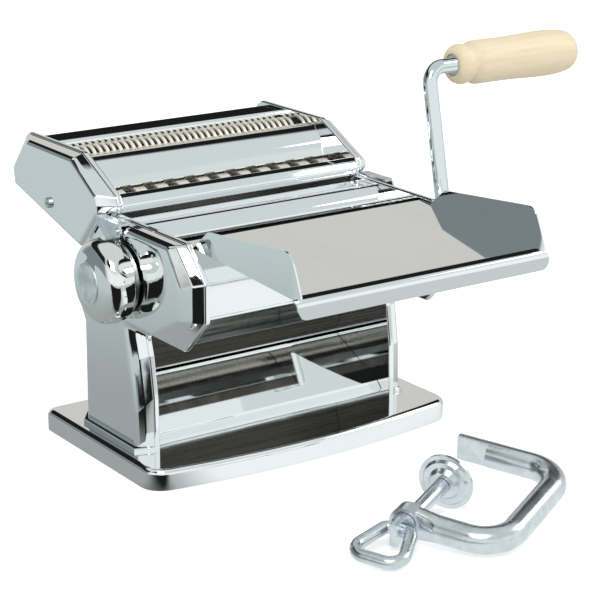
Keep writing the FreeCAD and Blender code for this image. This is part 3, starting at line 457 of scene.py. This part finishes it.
@dataclass(frozen=True)
class RolledSheet(ChromePlate):
    """Chrome on sheet whose faces aren't quite flat: each fall rolls a part of it away.

    Sway is the depth of the long waves along X. Below the height in under, the sheet is near-black:
    painted shade on its underside.
    """

    falls: tuple[Fall, ...] = ()
    streaks: Pattern = Pattern(stretch=(7.0, 70.0, 70.0))
    sway: float = 0.00012
    under: float = -1.0
    under_edge: float = 0.6 * MM
    # Near-black tones: painted shade under the sheet.
    shade_and_steel_tones: tuple[Colour, Colour] = ((0.060, 0.052, 0.046), (0.11, 0.10, 0.09))
    shade_and_steel_rough: float = 0.22

    def make(self) -> bpy.types.Material:
        """Builds the material.

        Returns:
            The material.
        """
        made, tree = self.start()
        place = tree.place()
        cloud, colour, rough = self.polish(tree)
        # Painted shade below the height in under.
        shade_and_steel_share = (self.under - place.part(Axis.Z)).band(0.0, self.under_edge)
        height = self.waves.read(tree) * self.wave_depth + self.streaks.read(tree) * self.sway
        for fall in self.falls:
            height = height + fall.height(place)
        tree.surface(
            Base_Color=tree.blend(shade_and_steel_share, colour, tree.blend(cloud, *self.shade_and_steel_tones)), Metallic=1.0,
            Roughness=rough + shade_and_steel_share * self.shade_and_steel_rough, Normal=tree.bump(height),
        )
        return made


@dataclass(frozen=True)
class TurnedSteel(Finish):
    """Steel that was turned on a lathe about an axis along X."""

    tint: Colour = (0.62, 0.62, 0.60)
    gloss: float = 0.22
    rings: Pattern = Pattern(stretch=(2600.0, 40.0, 40.0))
    ring_shade: float = 0.86
    ring_rough: float = 0.12
    ring_depth: float = 0.00002
    clouds: Pattern = Pattern(55.0)
    cloud_rough: float = 0.06

    def make(self) -> bpy.types.Material:
        """Builds the material.

        Returns:
            The material.
        """
        made, tree = self.start()
        rings = self.rings.read(tree)
        shade = scaled(self.tint, self.ring_shade)
        cloud_rough = self.cloud_rough * self.clouds.read(tree)
        tree.surface(
            Base_Color=tree.blend(self.rings.marks(rings), self.tint, shade), Metallic=1.0,
            Roughness=self.gloss + self.ring_rough * rings + cloud_rough,
            Normal=tree.bump(rings, self.ring_depth),
        )
        return made


@dataclass(frozen=True)
class ZincPlate(Finish):
    """Bright zinc on steel, a little blue and cloudy."""

    tint: Colour = (0.66, 0.70, 0.74)
    gloss: float = 0.16
    bloom: Pattern = Pattern(120.0, detail=4.0, rough=0.6)
    bloom_rough: float = 0.10
    bloom_tint: Colour = (0.56, 0.60, 0.64)
    bloom_span: Span = (0.3, 0.8)
    grain: Pattern = Pattern(1400.0)
    grain_depth: float = 0.00001

    def make(self) -> bpy.types.Material:
        """Builds the material.

        Returns:
            The material.
        """
        made, tree = self.start()
        bloom = self.bloom.read(tree)
        tree.surface(
            Base_Color=tree.blend(bloom.band(*self.bloom_span), self.tint, self.bloom_tint),
            Metallic=1.0, Roughness=self.gloss + self.bloom_rough * self.bloom.marks(bloom),
            Normal=tree.bump(self.grain.read(tree), self.grain_depth),
        )
        return made


@dataclass(frozen=True)
class Beech(Finish):
    """Pale beech with fine grain along the grip, broad bands and short darker flecks.

    Each share says how far a mark takes the light tone to the dark one.
    """

    light: Colour = (0.72, 0.61, 0.43)
    dark: Colour = (0.58, 0.45, 0.28)
    grain: Pattern = Pattern(
        stretch=(18.0, 420.0, 420.0), detail=4.0, rough=0.65, span=(0.45, 0.75),
    )
    grain_share: float = 0.35
    grain_depth: float = 0.00006
    bands: Pattern = Pattern(stretch=(6.0, 90.0, 90.0), span=(0.4, 0.8))
    band_share: float = 0.25
    flecks: Pattern = Pattern(stretch=(260.0, 2400.0, 900.0), detail=1.0, span=(0.66, 0.74))
    fleck_share: float = 0.3
    gloss: float = 0.42
    grain_rough: float = 0.18
    oil: float = 0.15
    oil_rough: float = 0.35

    def make(self) -> bpy.types.Material:
        """Builds the material.

        Returns:
            The material.
        """
        made, tree = self.start()
        grain = self.grain.read(tree)
        dark = self.grain.marks(grain) * self.grain_share
        dark = dark + self.bands.drawn(tree) * self.band_share
        dark = dark + self.flecks.drawn(tree) * self.fleck_share
        tree.surface(
            Base_Color=tree.blend(dark, self.light, self.dark),
            Roughness=self.gloss + self.grain_rough * grain,
            Coat_Weight=self.oil, Coat_Roughness=self.oil_rough,
            Normal=tree.bump(grain, self.grain_depth),
        )
        return made


@dataclass(frozen=True)
class WarmCutter(Finish):
    """The pale warm metal of a cutter's rims, and painted shade nearer its axis, in its grooves.

    The axis lies along X, at this Y and Z in millimetres.
    """

    axis_mm: Span
    groove_shade: Colour
    tint: Colour = (0.95, 0.91, 0.80)
    gloss: float = 0.34
    metal: float = 0.55
    rings: Pattern = Pattern(stretch=(2200.0, 60.0, 60.0), span=(0.3, 0.8))
    ring_shade: float = 0.85
    ring_rough: float = 0.12
    rim: float = 8.7 * MM
    rim_edge: float = 0.5 * MM

    def make(self) -> bpy.types.Material:
        """Builds the material.

        Returns:
            The material.
        """
        made, tree = self.start()
        rings = self.rings.read(tree)
        shade = scaled(self.tint, self.ring_shade)
        rim_tone = tree.blend(self.rings.marks(rings), self.tint, shade)
        place = tree.place()
        back = place.part(Axis.Y) - self.axis_mm[0] * MM
        up = place.part(Axis.Z) - self.axis_mm[1] * MM
        # Painted shade in the grooves between the discs.
        inside = (self.rim - (back * back + up * up) ** 0.5).band(0.0, self.rim_edge)
        tree.surface(
            Base_Color=tree.blend(inside, rim_tone, self.groove_shade), Metallic=self.metal,
            Roughness=self.gloss + self.ring_rough * rings,
        )
        return made


@dataclass(frozen=True)
class Dull(Finish):
    """Rubber or moulded nylon."""

    tint: Colour = (0.03, 0.03, 0.032)
    gloss: float = 0.6
    grain: Pattern = Pattern(1800.0)
    grain_depth: float = 0.00003
    wear: Pattern = Pattern(140.0, detail=3.0, span=(0.35, 0.7))
    wear_shade: float = 1.5
    wear_lift: float = 0.01
    wear_rough: float = 0.15

    def make(self) -> bpy.types.Material:
        """Builds the material.

        Returns:
            The material.
        """
        made, tree = self.start()
        wear = self.wear.read(tree)
        worn = scaled(self.tint, self.wear_shade, self.wear_lift)
        tree.surface(
            Base_Color=tree.blend(self.wear.marks(wear), self.tint, worn),
            Roughness=self.gloss + self.wear_rough * wear,
            Normal=tree.bump(self.grain.read(tree), self.grain_depth),
        )
        return made


SATIN_STEEL: tuple[Colour, Colour] = ((0.46, 0.50, 0.52), (0.69, 0.75, 0.78))
# Painted shade in the cutters' grooves: deep for the narrow cutter, lighter for the wide one.
DEEP_GROOVE_SHADE: Colour = (0.10, 0.09, 0.075)
LIGHT_GROOVE_SHADE: Colour = (0.34, 0.31, 0.26)
ABOVE_ALL = 300.0 * MM

SLOT_FINISHES: dict[str, Finish] = {finish.name: finish for finish in (
    ChromePlate("chrome_sheet"),
    # Its inner faces are painted shade, near-black below 108 mm.
    InnerPlate("chrome_plate"),
    ChromePlate("chrome_rod", (0.74, 0.79, 0.79), 0.05),
    ChromePlate("chrome_knob", (0.86, 0.88, 0.86), 0.03),
    ZincPlate("knob_cap", (0.90, 0.96, 0.97), 0.42),
    ZincPlate("zinc_steel", (0.70, 0.745, 0.775), 0.21),
    # The rollers' tone is steel darkened towards brown, partly as painted shade for their place
    # under the head.
    TurnedSteel("steel_rollers", (0.40, 0.375, 0.35), 0.20),
    TurnedSteel("steel_parts", (0.58, 0.59, 0.59), 0.24),
    TurnedSteel("gear_steel", (0.50, 0.50, 0.49), 0.32),
    TurnedSteel("bush_bronze", (0.60, 0.42, 0.22), 0.35),
    Dull("comb_plastic", (0.02, 0.02, 0.022), 0.45),
    Beech("beech"),
    Dull("foot_rubber"),
)}

# Pieces with a finish of their own, in place of their slot's.
PIECE_FINISHES: dict[str, Finish] = {"chute_plate": ChuteSheet("chute_sheet")} | {
    finish.name: finish for finish in (
        WarmCutter("narrow_cutter_front", (40.5, 140.0), DEEP_GROOVE_SHADE),
        WarmCutter("narrow_cutter_rear", (56.96, 141.15), DEEP_GROOVE_SHADE),
        WarmCutter("wide_cutter_front", (15.5, 125.3), LIGHT_GROOVE_SHADE),
        WarmCutter("wide_cutter_rear", (31.75, 122.43), LIGHT_GROOVE_SHADE),
        InnerPlate("cutter_left_plate", shade_and_steel_tones=SATIN_STEEL, below=ABOVE_ALL),
        InnerPlate("cutter_right_plate", shade_and_steel_tones=SATIN_STEEL, below=ABOVE_ALL),
        # The guards' undersides are painted shade below these heights.
        RolledSheet("front_guard", under=75.4 * MM),
        RolledSheet("cutter_front_guard", under=127.8 * MM),
        RolledSheet("cutter_middle_guard", falls=(
            Fall(Axis.Y, 23.4 * MM, 6.1 * MM, 0.95), Fall(Axis.Y, 23.4 * MM, -5.0 * MM, 0.42),
        )),
        RolledSheet("cutter_rear_guard", falls=(Fall(Axis.Y, 90.0 * MM, -3.0 * MM, 0.2),)),
        RolledSheet("rear_guard", falls=(
            Fall(Axis.Y, -20.5 * MM, -4.0 * MM, 0.22), Fall(Axis.Y, -27.0 * MM, -9.0 * MM, 0.60),
        )),
        RolledSheet("left_side_cover", sway=0.00001, falls=(
            Fall(Axis.X, -80.8 * MM, -1.0 * MM, 0.50),
        )),
        RolledSheet("feed_tray", gloss=0.04, sway=0.00002, falls=(
            Fall(Axis.Y, -155.5 * MM, -6.0 * MM, 0.34), Fall(Axis.Y, -65.0 * MM, 1.0 * MM, -0.45),
        )),
    )
}

# Pieces that the chrome doesn't mirror.
UNMIRRORED = ("crank_rod", "crank_grip", "crank_collar")


@dataclass
class Dresser:
    """Gives every carried-over CAD node its finish and smooth curved faces."""

    crease: float = math.radians(32.0)
    weld: float = 0.002 * MM
    made: dict[str, bpy.types.Material] = field(default_factory=dict)

    def finish(self, piece: str, slot: str) -> bpy.types.Material:
        """The material of a piece.

        Args:
            piece: the piece's name.
            slot: the slot that the record gives it.

        Returns:
            The piece's own material, or else the slot's, made once.
        """
        if piece in PIECE_FINISHES:
            return PIECE_FINISHES[piece].make()
        if slot not in self.made:
            self.made[slot] = SLOT_FINISHES[slot].make()
        return self.made[slot]

    def dress(self, node: bpy.types.Object, slot: str) -> None:
        """Puts the finish and the shading on one node.

        Args:
            node: the CAD object.
            slot: its slot.
        """
        node.visible_glossy = node.name not in UNMIRRORED
        node.data.materials.clear()
        node.data.materials.append(self.finish(node.name, slot))
        weld = node.modifiers.new("weld", "WELD")
        weld.merge_threshold = self.weld
        split = node.modifiers.new("crease", "EDGE_SPLIT")
        split.split_angle = self.crease
        split.use_edge_sharp = False
        even = node.modifiers.new("even", "WEIGHTED_NORMAL")
        even.keep_sharp = True
        log.info("dressed %s as %s", node.name, slot)

    def dress_all(self) -> None:
        """Dresses every CAD node."""
        for entry in frame["record"]["subparts"]:
            self.dress(frame["nodes"][entry["node"]], entry["material_slot"])


@dataclass(frozen=True)
class Edge:
    """A soft edge across an axis, from 0 at its start to 1 where it is full, on either side.

    A slant moves the edge along its axis by that much for each unit of X.
    """

    axis: Axis
    start: float
    full: float
    slant: float = 0.0

    def share(self, place: Value) -> Value:
        """How far a place or a direction is across the edge.

        Args:
            place: the place or the direction.

        Returns:
            The share, from 0 to 1.
        """
        along = place.part(self.axis)
        if self.slant:
            along = along - place.part(Axis.X) * self.slant
        return along.band(self.start, self.full)


@dataclass(frozen=True)
class Zone:
    """A tone of the studio that shows inside all of its edges."""

    tone: Colour
    edges: tuple[Edge, ...]

    def lay(self, tree: Tree, place: Value, under: Any) -> Value:
        """Lays the zone over what is there.

        Args:
            tree: the tree of the world or the floor.
            place: the place or the direction.
            under: the tone so far.

        Returns:
            The new tone.
        """
        inside = math.prod(edge.share(place) for edge in self.edges)
        return tree.blend(inside, under, self.tone)


WHITE: Colour = (1.0, 1.0, 1.0)
FRONT_TONE: Colour = (0.95, 0.99, 0.99)
DARK_TONE: Colour = (0.012, 0.012, 0.012)

# What the chrome sees above the horizon, over the bright front, by direction.
SKY = (
    # The cream back.
    Zone((0.64, 0.635, 0.60), (Edge(Axis.Y, -0.35, 0.35),)),
    # The grey left.
    Zone((0.22, 0.25, 0.27), (Edge(Axis.X, -0.1, -0.4), Edge(Axis.Y, 0.0, 0.3))),
    # The bright top.
    Zone((0.68, 0.73, 0.73), (Edge(Axis.Z, 0.34, 0.62),)),
    # The dark gap high at the left front.
    Zone(DARK_TONE, (
        Edge(Axis.Z, 0.52, 0.62), Edge(Axis.Z, 0.86, 0.78),
        Edge(Axis.X, -0.15, -0.27), Edge(Axis.Y, -0.05, -0.15),
    )),
    # The dark room above the back.
    Zone(DARK_TONE, (
        Edge(Axis.Z, 0.385, 0.44), Edge(Axis.Z, 0.78, 0.69), Edge(Axis.Y, -0.05, 0.12),
    )),
)

# Painted light and shade on the floor, which only the chrome sees, by place in metres.
FLOOR_LIGHT_AND_SHADE = (
    # A painted pool of white light in front.
    Zone(FRONT_TONE, (Edge(Axis.X, -0.092, -0.052), Edge(Axis.Y, -0.03, -0.08))),
    # Painted paler light far in front.
    Zone((0.62, 0.66, 0.66), (Edge(Axis.Y, -0.38, -0.46),)),
    # Painted shade: a dark wedge at the left front.
    Zone(DARK_TONE, (
        Edge(Axis.Y, -0.0207, -0.0507, slant=0.27),
        Edge(Axis.X, -0.080, -0.092), Edge(Axis.Y, -1.1, -0.75),
    )),
)


@dataclass(frozen=True)
class Lamp:
    """One square soft lamp that faces the machine, in metres and watts."""

    name: str
    place: Triple
    size: float
    power: float
    aim: Triple = (0.0, 0.0, 0.05)

    def hang(self) -> None:
        """Hangs the lamp in the scene."""
        data = bpy.data.lights.new(self.name, "AREA")
        data.size = self.size
        data.energy = self.power
        lamp = bpy.data.objects.new(self.name, data)
        bpy.context.scene.collection.objects.link(lamp)
        lamp.location = self.place
        away = Vector(self.place) - Vector(self.aim)
        lamp.rotation_euler = away.to_track_quat("Z", "Y").to_euler()


LAMPS = (
    Lamp("key", (-0.9, -1.1, 1.6), 0.9, 14.0),
    Lamp("side", (1.5, -0.6, 1.2), 0.8, 8.0),
)


@dataclass
class Studio:
    """The camera, the world, the floor and the lamps, in metres.

    The camera was fitted to the photograph: it looks at the target from an azimuth, an elevation
    and a distance. The focal length and the picture are in pixels, and the target, the distance
    and the sensor are in millimetres.
    """

    target_mm: Triple = (64.178, 34.159, 47.871)
    azimuth: float = math.radians(-34.856)
    elevation: float = math.radians(17.111)
    distance_mm: float = 1132.465
    focal_pixels: float = 1964.957
    picture_pixels: float = 600.0
    sensor_mm: float = 36.0
    clip: Span = (0.05, 20.0)
    soft_light: Colour = (0.92, 0.93, 0.93)
    # Floor tones that the chrome sees: painted shadow near the feet, fading to the pale tone
    # further out.
    floor_tone: Colour = (0.555, 0.635, 0.640)
    painted_shadow_tone: Colour = (0.36, 0.39, 0.385)
    painted_shadow_reach: Span = (0.10, 0.50)
    floor_grey: Colour = (0.80, 0.80, 0.80)
    floor_glow: float = 0.45
    floor_size: float = 6.0
    floor_drop: float = 0.4 * MM

    def camera(self) -> None:
        """Puts the camera where the photograph was taken from."""
        data = bpy.data.cameras.new("camera")
        data.sensor_width = self.sensor_mm
        data.lens = self.focal_pixels / self.picture_pixels * self.sensor_mm
        data.clip_start, data.clip_end = self.clip
        eye = bpy.data.objects.new("camera", data)
        bpy.context.scene.collection.objects.link(eye)
        look = Vector((
            math.sin(self.azimuth) * math.cos(self.elevation),
            -math.cos(self.azimuth) * math.cos(self.elevation),
            math.sin(self.elevation),
        ))
        eye.location = (Vector(self.target_mm) + look * self.distance_mm) * MM
        eye.rotation_euler = look.to_track_quat("Z", "Y").to_euler()
        bpy.context.scene.camera = eye

    def world(self) -> None:
        """White behind the object, and a soft studio in the chrome."""
        world = bpy.data.worlds.new("studio")
        bpy.context.scene.world = world
        tree = Tree(world)
        way = tree.direction()
        sky = FRONT_TONE
        for zone in SKY:
            sky = zone.lay(tree, way, sky)
        seen, glossy = tree.rays()
        tone = tree.blend(seen, tree.blend(glossy, self.soft_light, sky), WHITE)
        back = tree.add("ShaderNodeBackground", {}, {"Color": tone, "Strength": 1.0})
        tree.end(back, "ShaderNodeOutputWorld")

    def painted_floor_light(self, tree: Tree) -> Value:
        """What the chrome sees of the floor: painted shadow near the machine, under the painted
        zones of light and shade.

        Args:
            tree: the floor's tree.

        Returns:
            The colour by place.
        """
        place = tree.place()
        right, back = place.part(Axis.X), place.part(Axis.Y)
        # Painted shadow: darker near the machine, paler further away.
        reach = ((right * right + back * back) ** 0.5).band(*self.painted_shadow_reach)
        tone = tree.blend(reach, self.painted_shadow_tone, self.floor_tone)
        for zone in FLOOR_LIGHT_AND_SHADE:
            tone = zone.lay(tree, place, tone)
        return tone

    def paint(self) -> bpy.types.Material:
        """The floor's paint.

        Returns:
            A material that is white to the camera, grey to soft light and, to the chrome, painted
            light and shade.
        """
        made = bpy.data.materials.new("floor")
        tree = Tree(made)
        seen, glossy = tree.rays()
        soft = tree.add("ShaderNodeBsdfDiffuse", {}, {"Color": self.floor_grey})
        glow = tree.add("ShaderNodeEmission", {}, {"Color": WHITE, "Strength": self.floor_glow})
        white = tree.add("ShaderNodeAddShader", {}, [glow.outputs[0], soft.outputs[0]])
        painted_floor_light = tree.add("ShaderNodeEmission", {}, {"Color": self.painted_floor_light(tree), "Strength": 1.0})
        plain = tree.add("ShaderNodeMixShader", {}, [glossy, soft.outputs[0], painted_floor_light.outputs[0]])
        tree.end(tree.add("ShaderNodeMixShader", {}, [seen, plain.outputs[0], white.outputs[0]]))
        return made

    def floor(self) -> None:
        """Lays a wide plain floor just under the feet."""
        mesh = bpy.data.meshes.new("floor")
        shape = bmesh.new()
        bmesh.ops.create_grid(shape, x_segments=1, y_segments=1, size=self.floor_size)
        bmesh.ops.translate(shape, vec=(0.0, 0.0, -self.floor_drop), verts=shape.verts)
        shape.to_mesh(mesh)
        shape.free()
        mesh.materials.append(self.paint())
        floor = bpy.data.objects.new("floor", mesh)
        bpy.context.scene.collection.objects.link(floor)

    def build(self) -> None:
        """Sets the studio up."""
        bpy.context.scene.view_settings.view_transform = "Standard"
        self.camera()
        self.world()
        self.floor()
        for lamp in LAMPS:
            lamp.hang()
        log.info("studio is set")


def write_sizes() -> None:
    """Defines a helper that gives a pair of corners as plain lists, and writes nothing."""
    def plain(pair: Any) -> list[list[float]]:
        """A pair of corners as plain lists."""
        return [[float(v) for v in corner] for corner in pair]


def main() -> None:
    """Builds the looks in order."""
    Studio().build()
    Dresser().dress_all()
    write_sizes()


if __name__ == "__main__":
    main()
